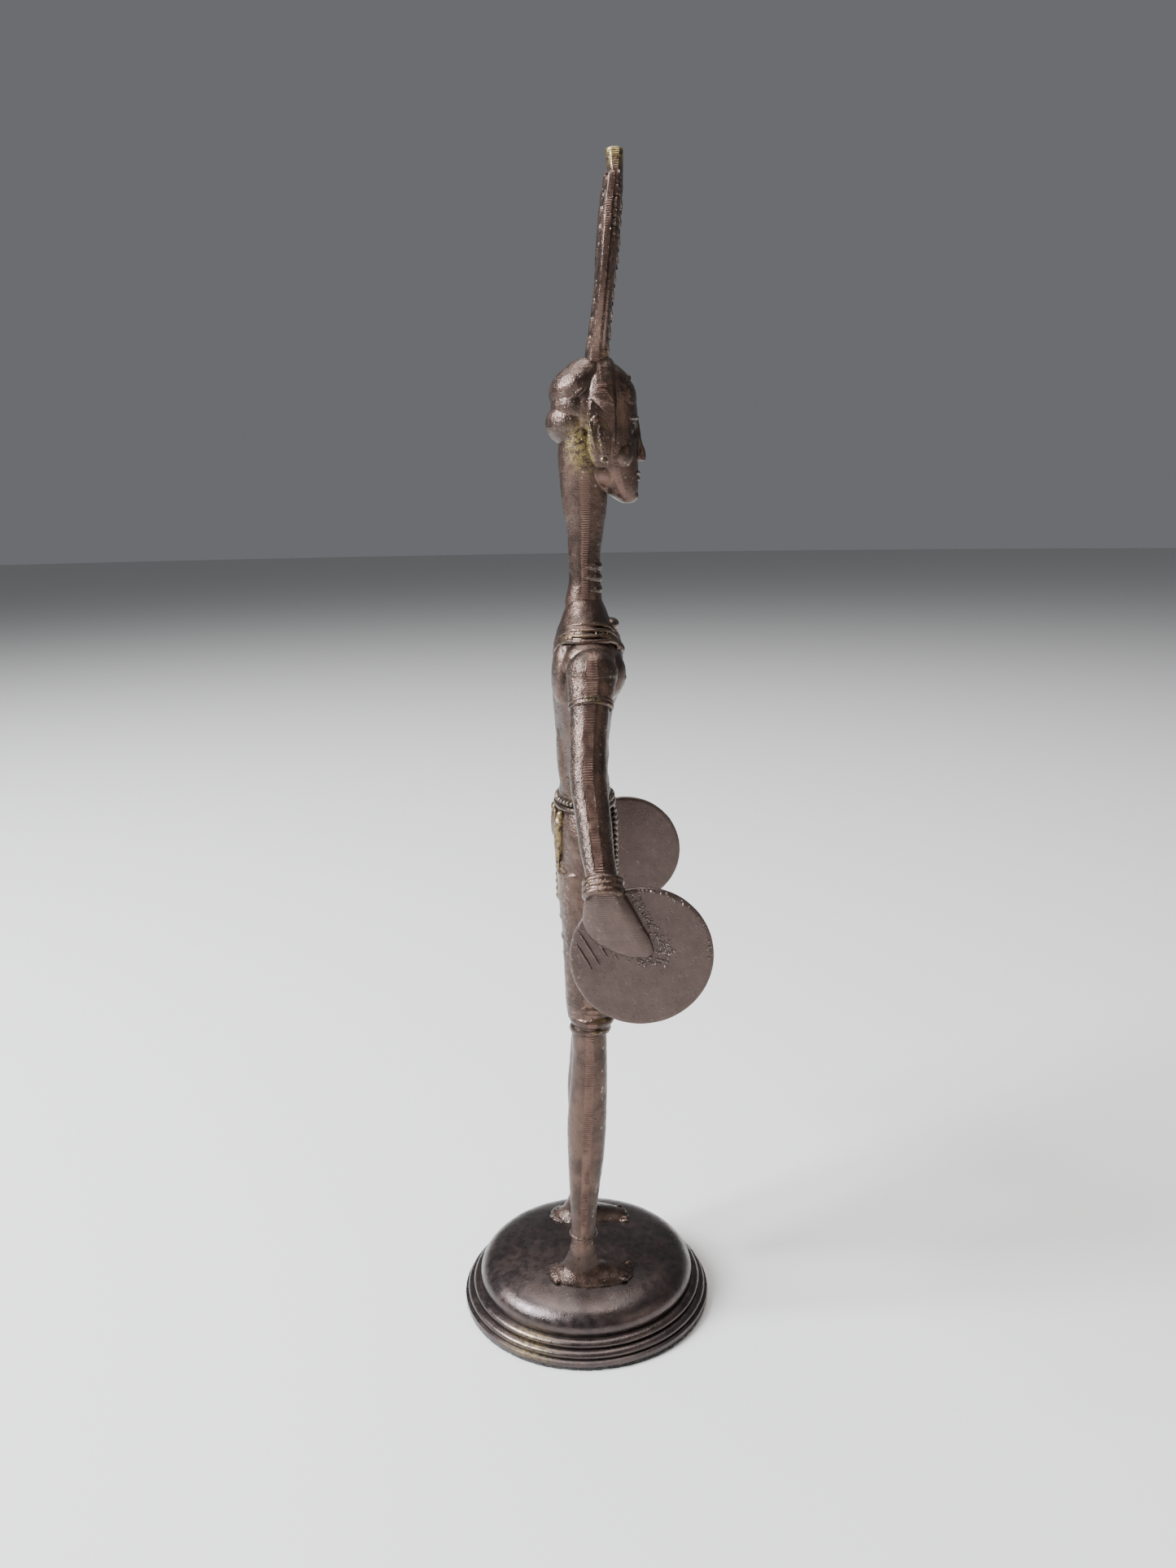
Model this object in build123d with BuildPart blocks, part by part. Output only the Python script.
"""Cast bronze statuette of a standing cymbal dancer on a round moulded foot.

Millimetres. +Z is up and the dancer faces -Y, so the dancer's right side is at -X. The origin is the centre
of the underside. The figure is cast in sections. Each section has a round spigot that seats in the next
one's socket, and the ornament bands (anklets, cuffs, belt, collar, armlets, bangles) lie over those joints.
Every right-hand piece is modelled and its left-hand twin is mirrored in the YZ plane.
"""

import os
from math import cos, radians, sin

from build123d import *

# ---- Overall stack, from the table up ----
felt_thickness = 1.0
flange_height = 1.5
bead_rise = 1.95
dome_side_height = 5.4
dome_crown_height = 3.7
leg_height = 72.5
thigh_height = 32.0
hip_height = 28.0
torso_height = 43.5
neck_height = 27.5
head_height = 34.5
crest_height = 46.5

# ---- Foot of the statuette ----
base_radius = 34.6
flange_lip = 1.1
bead_run = 1.9
bead_count = 2
bead_bulge = 0.55
shoulder_inset = 2.5
shoulder_round = 1.6
base_wall = 2.4
felt_inset = 0.5

# ---- Screws that hold the feet ----
screw_radius = 1.5
screw_clearance = 0.2
thread_gap = 0.03
screw_head_radius = 2.7
screw_head_height = 1.8
screw_slot_width = 0.7
screw_slot_depth = 0.8
screw_reach = 7.0
washer_radius = 3.6
washer_thickness = 0.5
boss_radius = 4.6
boss_length = 6.0

# ---- Joints between the cast sections ----
spigot_gap = 0.08
seat_gap = 0.02
spigot_length = 5.0
knee_spigot_radius = 2.3
waist_spigot_radius = 4.0
neck_spigot_radius = 2.8
shoulder_spigot_radius = 2.4
wrist_spigot_radius = 1.4
band_gap = 0.05

# ---- Legs and feet ----
foot_spread = 13.7
knee_spread = 11.0
hip_spread = 7.9
leg_y = -1.8
ankle_y = 0.6
ankle_half_width = 3.1
ankle_half_depth = 3.35
calf_y = -0.8
calf_half_width = 4.7
calf_half_depth = 5.2
knee_half_width = 4.3
knee_half_depth = 4.6
thigh_half_width = 6.8
thigh_half_depth = 6.6
foot_length = 24.6
foot_radius = 5.4
foot_sink = 3.0
foot_centre_y = -1.3
ankle_height = 9.0
heel_back = 3.6
heel_half_depth = 7.0
heel_half_width = 5.1
heel_middle_share = 0.45
heel_middle_half_width = 3.8
heel_middle_half_depth = 4.9
hip_half_width = 15.2
hip_half_depth = 7.9
crotch_drop = 4.5

# ---- Ornament bands ----
anklet_radius = 0.7
anklet_height = 11.0
cuff_height = 9.9
cuff_wall = 0.7
cuff_rise = 1.0
cuff_forward = 0.8
cuff_roll = 0.7
cuff_rolls = 3
belt_height = 4.4
belt_proud = 0.8
collar_height = 8.4
collar_top_drop = 0.6
collar_proud = 1.0
neck_ring_count = 3
neck_ring_radius = 0.8
neck_ring_pitch = 3.5
neck_ring_rise = 6.5
neck_ring_sink = 0.6
armlet_share = 0.27
armlet_width = 1.8
armlet_proud = 0.7
bangle_width = 4.2
bangle_proud = 1.3

# ---- Hip drapery ----
drape_proud = 1.0
front_drape_width = 13.0
front_drape_length = 20.0
back_drape_width = 10.0
back_drape_length = 9.0
tassel_spread = 8.2
tassel_length = 19.0
hanging_corner_share = 0.45
hanging_trim = 0.02
tassel_width = 3.6

# ---- Torso, arms and hands ----
torso_y = -1.6
chest_y = -3.0
waist_half_width = 11.0
waist_half_depth = 6.2
chest_half_width = 16.4
chest_half_depth = 9.5
arm_cut = 14.6
shoulder_half_span = 18.5
shoulder_drop = 12.0
shoulder_radius = 6.3
shoulder_y = -3.6
elbow_half_span = 31.5
elbow_drop = 38.0
elbow_y = -2.5
wrist_half_span = 46.8
wrist_drop = 57.0
wrist_y = -5.2
upper_arm_half_thickness = 4.5
upper_arm_half_depth = 4.85
elbow_half_thickness = 4.0
elbow_half_depth = 4.4
wrist_half_thickness = 2.9
wrist_half_depth = 3.3
hand_half_thickness = 2.1
hand_half_depth = 4.9
palm_drop = 7.5
finger_drop = 16.5
hand_sink = 0.3
finger_half_depth = 3.0
thumb_drop = 15.0
thumb_forward = 10.2
thumb_half_depth = 1.3

# ---- Cymbals ----
cymbal_radius = 16.6
cymbal_thickness = 1.6
cymbal_edge_break = 0.35
cymbal_half_span = 44.8
cymbal_y = -13.9
cymbal_below_wrist = 16.6

# ---- Head and crest ----
neck_y = -2.4
neck_half_width = 3.9
neck_half_depth = 4.0
head_y = -5.6
head_half_width = 8.4
head_half_depth = 10.6
bun_radius = 6.6
bun_y = 0.2
bun_share = 0.58
nose_share = 0.285
nose_length = 9.5
nose_half_width = 1.9
nose_proud = 2.2
eye_share = 0.5
eye_spread = 3.5
eye_size = 1.5
mouth_share = 0.19
mouth_half_width = 2.6
mouth_size = 0.75
ear_drop_height = 12.0
ear_drop_depth = 7.0
ear_drop_thickness = 1.5
ear_drop_y = -6.4
ear_drop_bottom_share = 0.27
crest_lean = 5.0
crest_root_half_width = 4.2
crest_half_width = 9.0
crest_tip_half_width = 2.3
crest_wide_share = 0.42
crest_plate_thickness = 2.6
crest_rib_depth = 3.0
crest_rib_half_width = 3.4
crest_rib_share = 0.86
crest_notches = 6
crest_notch_pitch = 2.5
crest_notch_radius = 0.55
crest_notch_start = 11.0
crest_front_y = -9.0
crest_tenon_half_width = 2.4
crest_tenon_thickness = 1.8
crest_tenon_length = 5.0

# ---- Heights and places that follow ----
flange_top = felt_thickness + flange_height
bead_top = flange_top + bead_count * bead_rise
shoulder_line = bead_top + dome_side_height
dome_top = shoulder_line + dome_crown_height
knee_z = dome_top + leg_height
crotch_z = knee_z + thigh_height
waist_z = crotch_z + hip_height
neck_z = waist_z + torso_height
chin_z = neck_z + neck_height
crown_z = chin_z + head_height
dome_radius = base_radius - flange_lip - bead_count * bead_run
shoulder_r = dome_radius - shoulder_inset
boss_bottom = dome_top - base_wall - boss_length
screw_places = [(-foot_spread, 0), (foot_spread, 0)]
foot_z = dome_top - foot_sink
ankle_z = dome_top + ankle_height
heel_middle_z = dome_top + heel_middle_share * ankle_height
shoulder_z = neck_z - shoulder_drop
elbow_z = neck_z - elbow_drop
wrist_z = neck_z - wrist_drop
cymbal_z = wrist_z - cymbal_below_wrist
cymbal_face_x = cymbal_half_span + cymbal_thickness / 2
hand_x = cymbal_face_x + hand_half_thickness - hand_sink
crest_length = (crest_height - crest_plate_thickness * sin(radians(crest_lean))) / cos(radians(crest_lean))

shoulder_point = Vector(-shoulder_half_span, shoulder_y, shoulder_z)
elbow_point = Vector(-elbow_half_span, elbow_y, elbow_z)
wrist_point = Vector(-wrist_half_span, wrist_y, wrist_z)
upper_arm = (elbow_point - shoulder_point).normalized()
forearm = (wrist_point - elbow_point).normalized()


def oval(centre, half_width, half_depth, normal=(0, 0, 1)):
    """One oval section of a loft, its first half size lying in the XZ plane."""
    across = Vector(0, 1, 0).cross(Vector(*normal))
    with BuildSketch(Plane(centre, x_dir=across, z_dir=normal)) as section:
        Ellipse(half_width, half_depth)
    return section.sketch


def shin_sections(grow=0.0):
    """Ovals of the right shin, from inside the foot up to the knee joint."""
    stations = [
        (-0.03, ankle_y, ankle_half_width, ankle_half_depth),
        (0.13, ankle_y, ankle_half_width, ankle_half_depth),
        (0.34, ankle_y - 0.5, 0.77 * calf_half_width, 0.79 * calf_half_depth),
        (0.60, calf_y, calf_half_width, calf_half_depth),
        (0.84, leg_y + 0.3, knee_half_width + 0.2, knee_half_depth + 0.2),
        (1.0, leg_y, knee_half_width, knee_half_depth),
    ]
    sections = []
    for share, y, half_width, half_depth in stations:
        x = foot_spread + (knee_spread - foot_spread) * share
        z = dome_top + leg_height * share
        sections.append(oval((-x, y, z), half_width + grow, half_depth + grow))
    return sections


def thigh_sections(grow=0.0):
    """Ovals of the right thigh, from the knee joint up to inside the hips."""
    stations = [
        (0.0, knee_spread, knee_half_width + 0.2, knee_half_depth + 0.2),
        (0.12, knee_spread - 0.3, knee_half_width + 0.7, knee_half_depth + 0.7),
        (0.25, knee_spread - 0.8, 0.88 * thigh_half_width, 0.94 * thigh_half_depth),
        (0.60, hip_spread + 1.0, thigh_half_width, thigh_half_depth),
        (0.95, hip_spread, thigh_half_width + 0.3, thigh_half_depth + 0.2),
    ]
    return [oval((-x, leg_y, knee_z + thigh_height * s), w + grow, d + grow) for s, x, w, d in stations]


def hip_sections(grow=0.0):
    """Ovals of the hips, from below the crotch up to the waist joint."""
    stations = [
        (-crotch_drop / hip_height, 0.62 * hip_half_width, 0.6 * hip_half_depth),
        (0.0, 0.96 * hip_half_width, 0.9 * hip_half_depth),
        (0.30, hip_half_width, hip_half_depth),
        (0.62, 0.94 * hip_half_width, hip_half_depth),
        (0.84, waist_half_width + 1.9, waist_half_depth + 1.1),
        (1.0, waist_half_width + 0.4, waist_half_depth + 0.2),
    ]
    return [oval((0, torso_y, crotch_z + hip_height * s), w + grow, d + grow) for s, w, d in stations]


def torso_sections(grow=0.0):
    """Ovals of the trunk, from the waist joint up to the neck joint."""
    stations = [
        (0.0, torso_y, waist_half_width, waist_half_depth),
        (0.14, torso_y, waist_half_width - 0.4, waist_half_depth),
        (0.32, torso_y, waist_half_width + 0.8, waist_half_depth + 0.7),
        (0.50, 0.8 * torso_y + 0.2 * chest_y, 0.85 * chest_half_width, 0.87 * chest_half_depth),
        (0.71, chest_y, chest_half_width, chest_half_depth),
        (0.83, chest_y, chest_half_width - 0.4, chest_half_depth - 0.4),
        (0.94, chest_y + 0.4, 0.72 * chest_half_width, 0.8 * chest_half_depth),
        (1.0, neck_y, neck_half_width + 3.3, neck_half_depth + 2.0),
    ]
    return [oval((0, y, waist_z + torso_height * s), w + grow, d + grow) for s, y, w, d in stations]


def neck_sections(grow=0.0):
    """Ovals of the neck, from the collar up to inside the head."""
    stations = [
        (0.0, neck_y, neck_half_width + 2.3, neck_half_depth + 1.6),
        (0.16, neck_y + 0.3, neck_half_width + 0.6, neck_half_depth + 0.7),
        (0.37, neck_y, neck_half_width, neck_half_depth),
        (0.52, neck_y, neck_half_width, neck_half_depth),
        (0.80, neck_y - 0.4, neck_half_width + 0.5, neck_half_depth + 0.7),
        (1.0, neck_y - 1.2, neck_half_width + 1.3, neck_half_depth + 1.6),
        (1.25, neck_y - 2.2, 0.7 * head_half_width, 0.68 * head_half_depth),
    ]
    return [oval((0, y, neck_z + neck_height * s), w + grow, d + grow) for s, y, w, d in stations]


def skull_sections():
    """Ovals of the head, from under the chin up to the flat seat of the crest."""
    stations = [
        (0.0, head_y - 3.4, 0.36 * head_half_width, 0.38 * head_half_depth),
        (0.10, head_y - 2.4, 0.63 * head_half_width, 0.62 * head_half_depth),
        (0.30, head_y - 0.8, head_half_width - 1.0, head_half_depth - 1.0),
        (0.52, head_y, head_half_width, head_half_depth),
        (0.74, head_y, head_half_width - 0.5, head_half_depth - 0.6),
        (0.90, head_y, 0.76 * head_half_width, 0.75 * head_half_depth),
        (1.0, head_y, 0.52 * head_half_width, 0.51 * head_half_depth),
    ]
    return [oval((0, y, chin_z + head_height * s), w, d) for s, y, w, d in stations]


def arm_sections(grow=0.0):
    """Ovals across the right arm, from inside the shoulder down to the wrist joint."""
    upper = elbow_point - shoulder_point
    lower = wrist_point - elbow_point
    bend = (upper_arm + forearm).normalized()
    stations = [
        (shoulder_point + upper * 0.05, upper_arm, 0.8 * shoulder_radius, 0.88 * shoulder_radius),
        (shoulder_point + upper * 0.32, upper_arm, upper_arm_half_thickness, upper_arm_half_depth),
        (shoulder_point + upper * 0.68, upper_arm, elbow_half_thickness + 0.1, elbow_half_depth + 0.1),
        (elbow_point, bend, elbow_half_thickness, elbow_half_depth),
        (elbow_point + lower * 0.5, forearm, 0.9 * elbow_half_thickness, 0.9 * elbow_half_depth),
        (wrist_point, forearm, wrist_half_thickness, wrist_half_depth),
    ]
    return [oval(centre, w + grow, d + grow, normal) for centre, normal, w, d in stations]


def hand_sections(drop, forward, half_thickness, half_depth):
    """Ovals from the wrist over the back of the hand to a finger end, which lies on the cymbal."""
    end_y = wrist_y - forward
    knuckle_y = wrist_y - 0.3 * forward
    return [
        oval(wrist_point, wrist_half_thickness, wrist_half_depth, forearm),
        oval((-hand_x, knuckle_y, wrist_z - palm_drop), hand_half_thickness, hand_half_depth, (0, 0, -1)),
        oval((-hand_x, end_y, wrist_z - drop), half_thickness, half_depth, (0, 0, -1)),
    ]


def band_frame(point, direction):
    """Plane across an arm, its normal running towards the hand."""
    return Plane(point, x_dir=Vector(0, 1, 0).cross(direction), z_dir=direction)


def dome_outline(wall=0.0):
    """Points of the dome's upper outline from its side to the axis, moved inwards by wall."""
    side = (dome_radius - wall, bead_top)
    bow = (dome_radius - wall - 0.25 * shoulder_inset, bead_top + 0.55 * dome_side_height - 0.5 * wall)
    edge = (shoulder_r - wall, shoulder_line - wall)
    sphere = ((shoulder_r - wall) ** 2 + dome_crown_height**2) / (2 * dome_crown_height)
    half_way = 0.5 * (shoulder_r - wall)
    middle = (half_way, dome_top - wall - sphere + (sphere**2 - half_way**2) ** 0.5)
    crown = (0, dome_top - wall)
    return side, bow, edge, middle, crown


def mirrored(part):
    """The left-hand twin of a right-hand piece."""
    return mirror(part, about=Plane.YZ)


# ---- Base casting ----
with BuildPart() as solid_foot:
    with BuildSketch(Plane.XZ):
        with BuildLine():
            underside = Line((0, felt_thickness), (base_radius, felt_thickness))
            flange = Line(underside @ 1, (base_radius, flange_top))
            lip = Line(flange @ 1, (base_radius - flange_lip, flange_top))
            corner = lip @ 1
            for _ in range(bead_count):
                over = corner + Vector(-bead_run, bead_rise)
                bulge = (corner + over) * 0.5 + Vector(bead_bulge, bead_bulge)
                ThreePointArc(corner, bulge, over)
                corner = over
            side, bow, edge, middle, crown = dome_outline()
            ThreePointArc(corner, bow, edge)
            ThreePointArc(edge, middle, crown)
            Line(crown, underside @ 0)
        make_face()
    revolve(axis=Axis.Z)
    rims = solid_foot.edges().filter_by(GeomType.CIRCLE)
    shoulder_rim = rims.filter_by(lambda rim: abs(rim.radius - shoulder_r) < 0.01)
    fillet(shoulder_rim, radius=shoulder_round)

with BuildPart() as base:
    add(solid_foot.part)
    with BuildSketch(Plane.XZ):
        with BuildLine():
            side, bow, edge, middle, crown = dome_outline(base_wall)
            Polyline((0, felt_thickness), (side[0], felt_thickness), side)
            ThreePointArc(side, bow, edge)
            ThreePointArc(edge, middle, crown)
            Line(crown, (0, felt_thickness))
        make_face()
    revolve(axis=Axis.Z, mode=Mode.SUBTRACT)
    with BuildSketch(Plane.XY.offset(boss_bottom)):
        with Locations(*screw_places):
            Circle(boss_radius)
    extrude(amount=boss_length + base_wall / 3)
    add(solid_foot.part, mode=Mode.INTERSECT)
    with BuildSketch(Plane.XY):
        with Locations(*screw_places):
            Circle(screw_radius + screw_clearance)
    extrude(amount=dome_top + base_wall, mode=Mode.SUBTRACT)
base.part.label = "base"

with BuildPart() as base_felt:
    with BuildSketch(Plane.XY):
        Circle(base_radius - felt_inset)
    extrude(amount=felt_thickness)
base_felt.part.label = "base_felt"

# ---- Screws and washers under the feet ----
washer_bottom = boss_bottom - washer_thickness
with BuildPart() as screw_washers:
    with BuildSketch(Plane.XY.offset(washer_bottom)):
        with Locations(*screw_places):
            Circle(washer_radius)
            Circle(screw_radius + screw_clearance, mode=Mode.SUBTRACT)
    extrude(amount=washer_thickness)
screw_washers.part.label = "screw_washers"

with BuildPart() as foot_screws:
    with BuildSketch(Plane.XY.offset(washer_bottom - screw_head_height)):
        with Locations(*screw_places):
            Circle(screw_head_radius)
    extrude(amount=screw_head_height)
    with BuildSketch(Plane.XY.offset(washer_bottom)):
        with Locations(*screw_places):
            Circle(screw_radius)
    extrude(amount=dome_top + screw_reach - washer_bottom)
    with BuildSketch(Plane.XY.offset(washer_bottom - screw_head_height)):
        with Locations(*screw_places):
            Rectangle(3 * screw_head_radius, screw_slot_width)
    extrude(amount=screw_slot_depth, mode=Mode.SUBTRACT)
foot_screws.part.label = "foot_screws"

# ---- Legs with their feet ----
with BuildPart() as right_leg:
    loft(sections=shin_sections())
    heel = [
        oval((-foot_spread, heel_back, foot_z), heel_half_width, heel_half_depth),
        oval((-foot_spread, heel_back / 2, heel_middle_z), heel_middle_half_width, heel_middle_half_depth),
        oval((-foot_spread, ankle_y, ankle_z), ankle_half_width, ankle_half_depth),
    ]
    loft(sections=heel)
    with BuildSketch(Plane((-foot_spread, foot_centre_y, foot_z))):
        with BuildLine():
            Line((0, -foot_length / 2), (0, foot_length / 2))
            EllipticalCenterArc((0, 0), foot_radius, foot_length / 2, start_angle=-90, arc_size=180)
        make_face()
    revolve(axis=Axis((-foot_spread, foot_centre_y, foot_z), (0, 1, 0)))
    with BuildSketch(Plane.XY.offset(knee_z)):
        with Locations((-knee_spread, leg_y)):
            Circle(knee_spigot_radius)
    extrude(amount=spigot_length)
    add(solid_foot.part.moved(Location((0, 0, seat_gap))), mode=Mode.SUBTRACT)
    with BuildSketch(Plane.XY):
        with Locations(screw_places[0]):
            Circle(screw_radius + thread_gap)
    extrude(amount=dome_top + screw_reach + spigot_gap, mode=Mode.SUBTRACT)
right_leg.part.label = "right_leg"

left_leg = mirrored(right_leg.part)
left_leg.label = "left_leg"

# ---- Trousers: hips and both thighs ----
with BuildPart() as right_thigh:
    loft(sections=thigh_sections())

with BuildPart() as hips:
    loft(sections=hip_sections())

with BuildPart() as trousers:
    add(hips.part)
    add(right_thigh.part)
    add(mirrored(right_thigh.part))
    with BuildSketch(Plane.XY.offset(knee_z)):
        with Locations((-knee_spread, leg_y), (knee_spread, leg_y)):
            Circle(knee_spigot_radius + spigot_gap)
    extrude(amount=spigot_length + spigot_gap, mode=Mode.SUBTRACT)
    with BuildSketch(Plane.XY.offset(waist_z)):
        with Locations((0, torso_y)):
            Circle(waist_spigot_radius)
    extrude(amount=spigot_length)
trousers.part.label = "trousers"

# ---- Anklets and knee cuffs ----
anklet_x = foot_spread + (knee_spread - foot_spread) * anklet_height / leg_height
anklet_plane = Plane((-anklet_x, ankle_y, dome_top + anklet_height), x_dir=(1, 0, 0), z_dir=(0, -1, 0))
with BuildPart() as right_anklet:
    with BuildSketch(anklet_plane):
        with Locations((ankle_half_width + 0.5 * anklet_radius, 0)):
            Ellipse(1.6 * anklet_radius, anklet_radius)
    revolve(axis=Axis(anklet_plane.origin, (0, 0, 1)))
    loft(sections=shin_sections(band_gap), mode=Mode.SUBTRACT)
right_anklet.part.label = "right_anklet"

left_anklet = mirrored(right_anklet.part)
left_anklet.label = "left_anklet"

cuff_y = leg_y - cuff_forward
cuff_bottom = knee_z + cuff_rise - cuff_height / 2
cuff_radius = knee_half_depth + cuff_forward + cuff_wall
with BuildPart() as right_knee_cuff:
    with BuildSketch(Plane((-knee_spread, cuff_y, cuff_bottom), x_dir=(1, 0, 0), z_dir=(0, -1, 0))):
        with BuildLine():
            roll_height = cuff_height / cuff_rolls
            core = cuff_radius - cuff_roll
            for roll in range(cuff_rolls):
                low = (core, roll * roll_height)
                high = (core, (roll + 1) * roll_height)
                ThreePointArc(low, (cuff_radius, (roll + 0.5) * roll_height), high)
            Polyline((core, cuff_height), (0, cuff_height), (0, 0), (core, 0))
        make_face()
    revolve(axis=Axis((-knee_spread, cuff_y, 0), (0, 0, 1)))
    loft(sections=shin_sections(band_gap), mode=Mode.SUBTRACT)
    loft(sections=thigh_sections(band_gap), mode=Mode.SUBTRACT)
right_knee_cuff.part.label = "right_knee_cuff"

left_knee_cuff = mirrored(right_knee_cuff.part)
left_knee_cuff.label = "left_knee_cuff"

# ---- Hip belt and the drapery that hangs from it ----
with BuildPart() as hip_skin:
    loft(sections=hip_sections(drape_proud))
    loft(sections=hip_sections(band_gap), mode=Mode.SUBTRACT)
    add(right_thigh.part, mode=Mode.SUBTRACT)
    add(mirrored(right_thigh.part), mode=Mode.SUBTRACT)

belt_bottom = waist_z - belt_height
with BuildPart() as hip_belt:
    loft(sections=hip_sections(drape_proud + belt_proud))
    loft(sections=hip_sections(band_gap), mode=Mode.SUBTRACT)
    with BuildSketch(Plane.XY.offset(belt_bottom)):
        Circle(2 * chest_half_width)
    extrude(amount=belt_height, mode=Mode.INTERSECT)
hip_belt.part.label = "hip_belt"


def hanging_window(width, length, back):
    """Space that one hanging of the hips fills: its width and length below the belt, behind or in front."""
    depth = 2 * chest_half_width if back else -2 * chest_half_width
    with BuildPart(mode=Mode.PRIVATE) as window:
        with BuildSketch(Plane.XZ):
            with Locations((0, belt_bottom - length / 2)):
                hanging_corner = hanging_corner_share * min(width, length)
                RectangleRounded(width, length - hanging_trim, radius=hanging_corner)
            with Locations((0, belt_bottom - length / 4)):
                Rectangle(width, length / 2)
        extrude(amount=-depth)
    return window.part


with BuildPart() as front_apron:
    add(hip_skin.part)
    add(hanging_window(front_drape_width, front_drape_length, back=False), mode=Mode.INTERSECT)
front_apron.part.label = "front_apron"

with BuildPart() as back_drape:
    add(hip_skin.part)
    add(hanging_window(back_drape_width, back_drape_length, back=True), mode=Mode.INTERSECT)
back_drape.part.label = "back_drape"

with BuildPart() as right_tassel:
    add(hip_skin.part)
    tassel_window = hanging_window(tassel_width, tassel_length, back=True)
    add(tassel_window.moved(Location((-tassel_spread, 0, 0))), mode=Mode.INTERSECT)
right_tassel.part.label = "right_tassel"

left_tassel = mirrored(right_tassel.part)
left_tassel.label = "left_tassel"

# ---- Cymbals ----
with BuildPart() as right_cymbal:
    with BuildSketch(Plane((-cymbal_face_x, cymbal_y, cymbal_z), x_dir=(0, 1, 0), z_dir=(1, 0, 0))):
        Circle(cymbal_radius)
    extrude(amount=cymbal_thickness)
    chamfer(right_cymbal.edges().filter_by(GeomType.CIRCLE), length=cymbal_edge_break)
right_cymbal.part.label = "right_cymbal"

left_cymbal = mirrored(right_cymbal.part)
left_cymbal.label = "left_cymbal"

# ---- Torso and arms ----
shoulder_plane = Plane((-arm_cut, shoulder_y, shoulder_z), x_dir=(0, 1, 0), z_dir=(1, 0, 0))
with BuildPart() as right_arm:
    loft(sections=arm_sections())
    with Locations(shoulder_point):
        Sphere(shoulder_radius)
    split(bisect_by=shoulder_plane, keep=Keep.BOTTOM)
    with BuildSketch(shoulder_plane):
        Circle(shoulder_spigot_radius)
    extrude(amount=spigot_length)
    add(right_cymbal.part, mode=Mode.SUBTRACT)
    with BuildSketch(band_frame(wrist_point, forearm)):
        Circle(wrist_spigot_radius)
    extrude(amount=spigot_length)
right_arm.part.label = "right_arm"

left_arm = mirrored(right_arm.part)
left_arm.label = "left_arm"

with BuildPart() as torso:
    loft(sections=torso_sections())
    split(bisect_by=shoulder_plane, keep=Keep.TOP)
    split(bisect_by=Plane((arm_cut, 0, 0), x_dir=(0, 1, 0), z_dir=(1, 0, 0)), keep=Keep.BOTTOM)
    for side_of_body in (-1, 1):
        socket = Plane((side_of_body * arm_cut, shoulder_y, shoulder_z), z_dir=(-side_of_body, 0, 0))
        with BuildSketch(socket):
            Circle(shoulder_spigot_radius + spigot_gap)
        extrude(amount=spigot_length + spigot_gap, mode=Mode.SUBTRACT)
    with BuildSketch(Plane.XY.offset(waist_z)):
        with Locations((0, torso_y)):
            Circle(waist_spigot_radius + spigot_gap)
    extrude(amount=spigot_length + spigot_gap, mode=Mode.SUBTRACT)
    with BuildSketch(Plane.XY.offset(neck_z)):
        with Locations((0, neck_y)):
            Circle(neck_spigot_radius)
    extrude(amount=spigot_length)
torso.part.label = "torso"

# ---- Collar and neck rings ----
with BuildPart() as collar:
    loft(sections=torso_sections(collar_proud))
    loft(sections=torso_sections(band_gap), mode=Mode.SUBTRACT)
    with BuildSketch(Plane.XY.offset(neck_z - collar_top_drop)):
        Circle(2 * chest_half_width)
    extrude(amount=-collar_height, mode=Mode.INTERSECT)
    with Locations(shoulder_point, (shoulder_half_span, shoulder_y, shoulder_z)):
        Sphere(shoulder_radius + band_gap, mode=Mode.SUBTRACT)
collar.part.label = "collar"

with BuildPart() as neck_rings:
    with BuildSketch(Plane((0, neck_y, 0), x_dir=(1, 0, 0), z_dir=(0, -1, 0))):
        for ring in range(neck_ring_count):
            ring_z = neck_z + neck_ring_rise + ring * neck_ring_pitch
            with Locations((neck_half_depth + neck_ring_radius - neck_ring_sink, ring_z)):
                Circle(neck_ring_radius)
    revolve(axis=Axis((0, neck_y, 0), (0, 0, 1)))
    loft(sections=neck_sections(band_gap), mode=Mode.SUBTRACT)
neck_rings.part.label = "neck_rings"

# ---- Head, with a plain face set out by shares of the head's height ----
with BuildPart() as head:
    loft(sections=neck_sections())
    loft(sections=skull_sections())
    with Locations((0, bun_y, chin_z + bun_share * head_height)):
        Sphere(bun_radius)
    face_y = head_y - head_half_depth
    nose_z = chin_z + nose_share * head_height
    nose = [
        oval((0, face_y + 1.6, nose_z), nose_half_width, nose_proud + 1.4),
        oval((0, face_y + 1.2, nose_z + 0.35 * nose_length), 0.7 * nose_half_width, nose_proud),
        oval((0, face_y + 1.4, nose_z + nose_length), 0.4 * nose_half_width, 0.4 * nose_proud),
    ]
    loft(sections=nose)
    eye_z = chin_z + eye_share * head_height
    with Locations((-eye_spread, face_y + 1.5, eye_z), (eye_spread, face_y + 1.5, eye_z)):
        Sphere(eye_size)
    mouth_z = chin_z + mouth_share * head_height
    mouth_plane = Plane((-mouth_half_width, face_y + 1.6, mouth_z), z_dir=(1, 0, 0))
    with BuildSketch(mouth_plane):
        Circle(mouth_size)
    extrude(amount=2 * mouth_half_width)
    with BuildSketch(Plane.XY.offset(neck_z)):
        with Locations((0, neck_y)):
            Circle(neck_spigot_radius + spigot_gap)
    extrude(amount=spigot_length + spigot_gap, mode=Mode.SUBTRACT)

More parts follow.
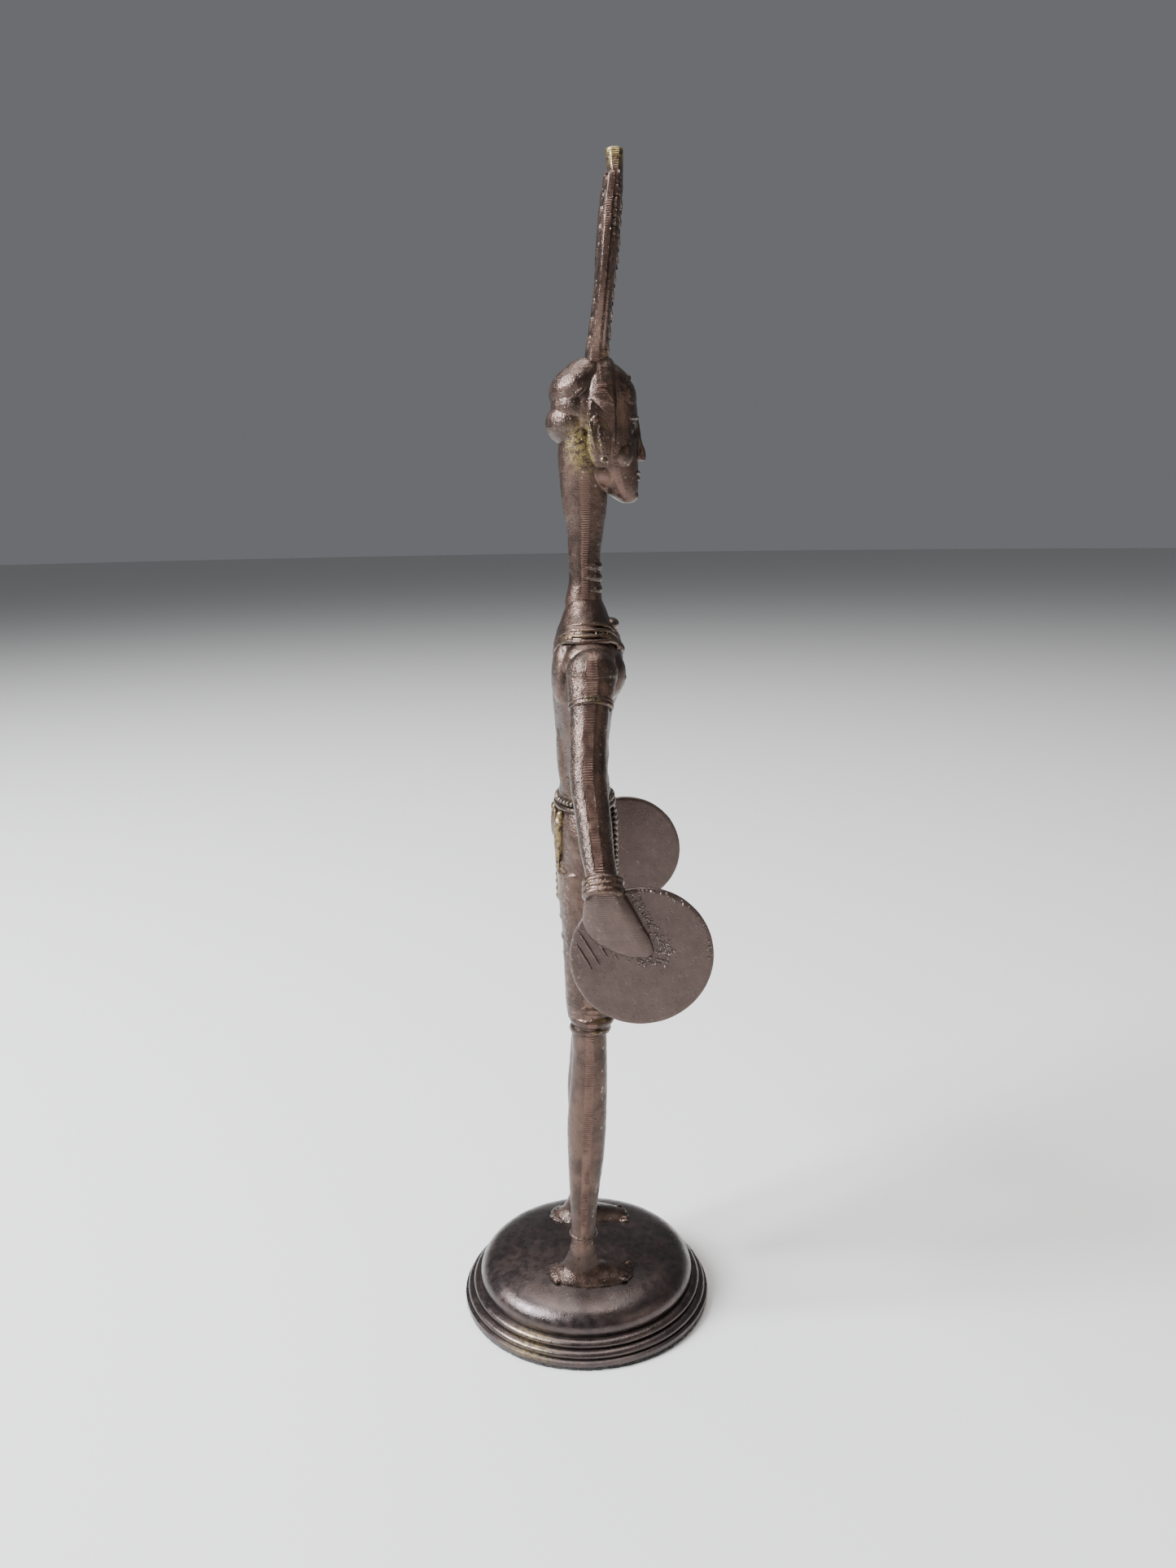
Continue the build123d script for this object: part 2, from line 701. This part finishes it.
# ---- Crest: a leaning plate on a tenon, with a rib up its back and a notched edge ----
lean = radians(crest_lean)
crest_plane = Plane((0, crest_front_y, crown_z), x_dir=(1, 0, 0), z_dir=(0, -cos(lean), -sin(lean)))
seat_plane = Plane((0, crest_front_y, crown_z), x_dir=(1, 0, 0), z_dir=(0, -sin(lean), cos(lean)))


def tenon_solid(gap=0.0):
    """The tenon under the crest, or with a gap the socket that takes it."""
    with BuildPart() as tenon:
        with BuildSketch(crest_plane.offset(gap - 0.5 * (crest_plate_thickness - crest_tenon_thickness))):
            with Locations((0, -(crest_tenon_length + gap) / 2)):
                Rectangle(2 * (crest_tenon_half_width + gap), crest_tenon_length + gap)
        extrude(amount=-(crest_tenon_thickness + 2 * gap))
    return tenon.part


with BuildPart() as crest:
    with BuildSketch(crest_plane):
        with BuildLine():
            wide_height = crest_wide_share * crest_length
            lower = Spline(
                (crest_root_half_width, 0),
                (crest_half_width, wide_height),
                tangents=((0.1, 1), (0, 1)),
            )
            upper = Spline(
                (crest_half_width, wide_height),
                (crest_tip_half_width, crest_length),
                tangents=((0, 1), (-0.25, 1)),
            )
            Line(upper @ 1, (0, crest_length))
            mirror(about=Plane.YZ)
            Line((-crest_root_half_width, 0), (crest_root_half_width, 0))
        make_face()
        for notch in range(crest_notches):
            depth_below_tip = crest_notch_start + notch * crest_notch_pitch
            edge_point = upper @ (1 - depth_below_tip / (crest_length - wide_height))
            with Locations((edge_point.X, edge_point.Y), (-edge_point.X, edge_point.Y)):
                Circle(crest_notch_radius, mode=Mode.SUBTRACT)
    extrude(amount=-crest_plate_thickness)
    with BuildSketch(Plane(crest_plane.origin, x_dir=crest_plane.z_dir, z_dir=(-1, 0, 0))):
        with BuildLine():
            rib_back = -crest_plate_thickness - crest_rib_depth
            Polyline(
                (-crest_plate_thickness / 2, 0),
                (rib_back, 0),
                (-crest_plate_thickness, crest_rib_share * crest_length),
                (-crest_plate_thickness / 2, crest_rib_share * crest_length),
                close=True,
            )
        make_face()
    extrude(amount=crest_rib_half_width, both=True)
    add(tenon_solid())
crest.part.label = "crest"

with BuildPart() as seated_head:
    add(head.part)
    split(bisect_by=seat_plane, keep=Keep.BOTTOM)
    add(tenon_solid(spigot_gap), mode=Mode.SUBTRACT)
seated_head.part.label = "head"

# ---- Ear ornaments: an almond leaf against each side of the head ----
ear_bottom = chin_z + ear_drop_bottom_share * head_height
with BuildPart() as right_ear_drop:
    ear_face = (-head_half_width - ear_drop_thickness / 2, ear_drop_y, ear_bottom)
    with BuildSketch(Plane(ear_face, x_dir=(0, 1, 0), z_dir=(1, 0, 0))):
        with BuildLine():
            ear_side = ear_drop_depth / 2
            ThreePointArc((0, 0), (ear_side, ear_drop_height / 2), (0, ear_drop_height))
            ThreePointArc((0, ear_drop_height), (-ear_side, ear_drop_height / 2), (0, 0))
        make_face()
    extrude(amount=2 * ear_drop_thickness)
    add(seated_head.part, mode=Mode.SUBTRACT)
right_ear_drop.part.label = "right_ear_drop"

left_ear_drop = mirrored(right_ear_drop.part)
left_ear_drop.label = "left_ear_drop"

# ---- Armlets, bangles and hands ----
armlet_point = shoulder_point + (elbow_point - shoulder_point) * armlet_share
with BuildPart() as right_armlet:
    with BuildSketch(band_frame(armlet_point, upper_arm)):
        Ellipse(upper_arm_half_thickness + armlet_proud, upper_arm_half_depth + armlet_proud)
    extrude(amount=armlet_width / 2, both=True)
    loft(sections=arm_sections(band_gap), mode=Mode.SUBTRACT)
    with Locations(shoulder_point):
        Sphere(shoulder_radius + band_gap, mode=Mode.SUBTRACT)
right_armlet.part.label = "right_armlet"

left_armlet = mirrored(right_armlet.part)
left_armlet.label = "left_armlet"

with BuildPart() as hand_casting:
    loft(sections=hand_sections(finger_drop, 0.0, 0.7 * hand_half_thickness, finger_half_depth))
    loft(sections=hand_sections(thumb_drop, thumb_forward, 0.5 * hand_half_thickness, thumb_half_depth))
    add(right_cymbal.part, mode=Mode.SUBTRACT)
    split(bisect_by=Plane(wrist_point, z_dir=forearm), keep=Keep.TOP)

with BuildPart() as right_hand:
    add(hand_casting.part)
    with BuildSketch(band_frame(wrist_point, forearm)):
        Circle(wrist_spigot_radius + spigot_gap)
    extrude(amount=spigot_length + spigot_gap, mode=Mode.SUBTRACT)
right_hand.part.label = "right_hand"

left_hand = mirrored(right_hand.part)
left_hand.label = "left_hand"

with BuildPart() as right_bangle:
    with BuildSketch(band_frame(wrist_point, forearm)):
        Ellipse(wrist_half_thickness + bangle_proud, wrist_half_depth + bangle_proud)
    extrude(amount=bangle_width / 2, both=True)
    loft(sections=arm_sections(band_gap), mode=Mode.SUBTRACT)
    add(right_arm.part, mode=Mode.SUBTRACT)
    add(hand_casting.part, mode=Mode.SUBTRACT)
    add(right_cymbal.part, mode=Mode.SUBTRACT)
right_bangle.part.label = "right_bangle"

left_bangle = mirrored(right_bangle.part)
left_bangle.label = "left_bangle"

# ---- Write one file for each piece ----
pieces = [
    base.part,
    base_felt.part,
    screw_washers.part,
    foot_screws.part,
    right_leg.part,
    left_leg,
    right_anklet.part,
    left_anklet,
    right_knee_cuff.part,
    left_knee_cuff,
    trousers.part,
    hip_belt.part,
    front_apron.part,
    back_drape.part,
    right_tassel.part,
    left_tassel,
    torso.part,
    collar.part,
    neck_rings.part,
    seated_head.part,
    right_ear_drop.part,
    left_ear_drop,
    crest.part,
    right_arm.part,
    left_arm,
    right_armlet.part,
    left_armlet,
    right_bangle.part,
    left_bangle,
    right_hand.part,
    left_hand,
    right_cymbal.part,
    left_cymbal,
]

os.makedirs("parts", exist_ok=True)
for piece in pieces:
    export_step(piece, f"parts/{piece.label}.step")
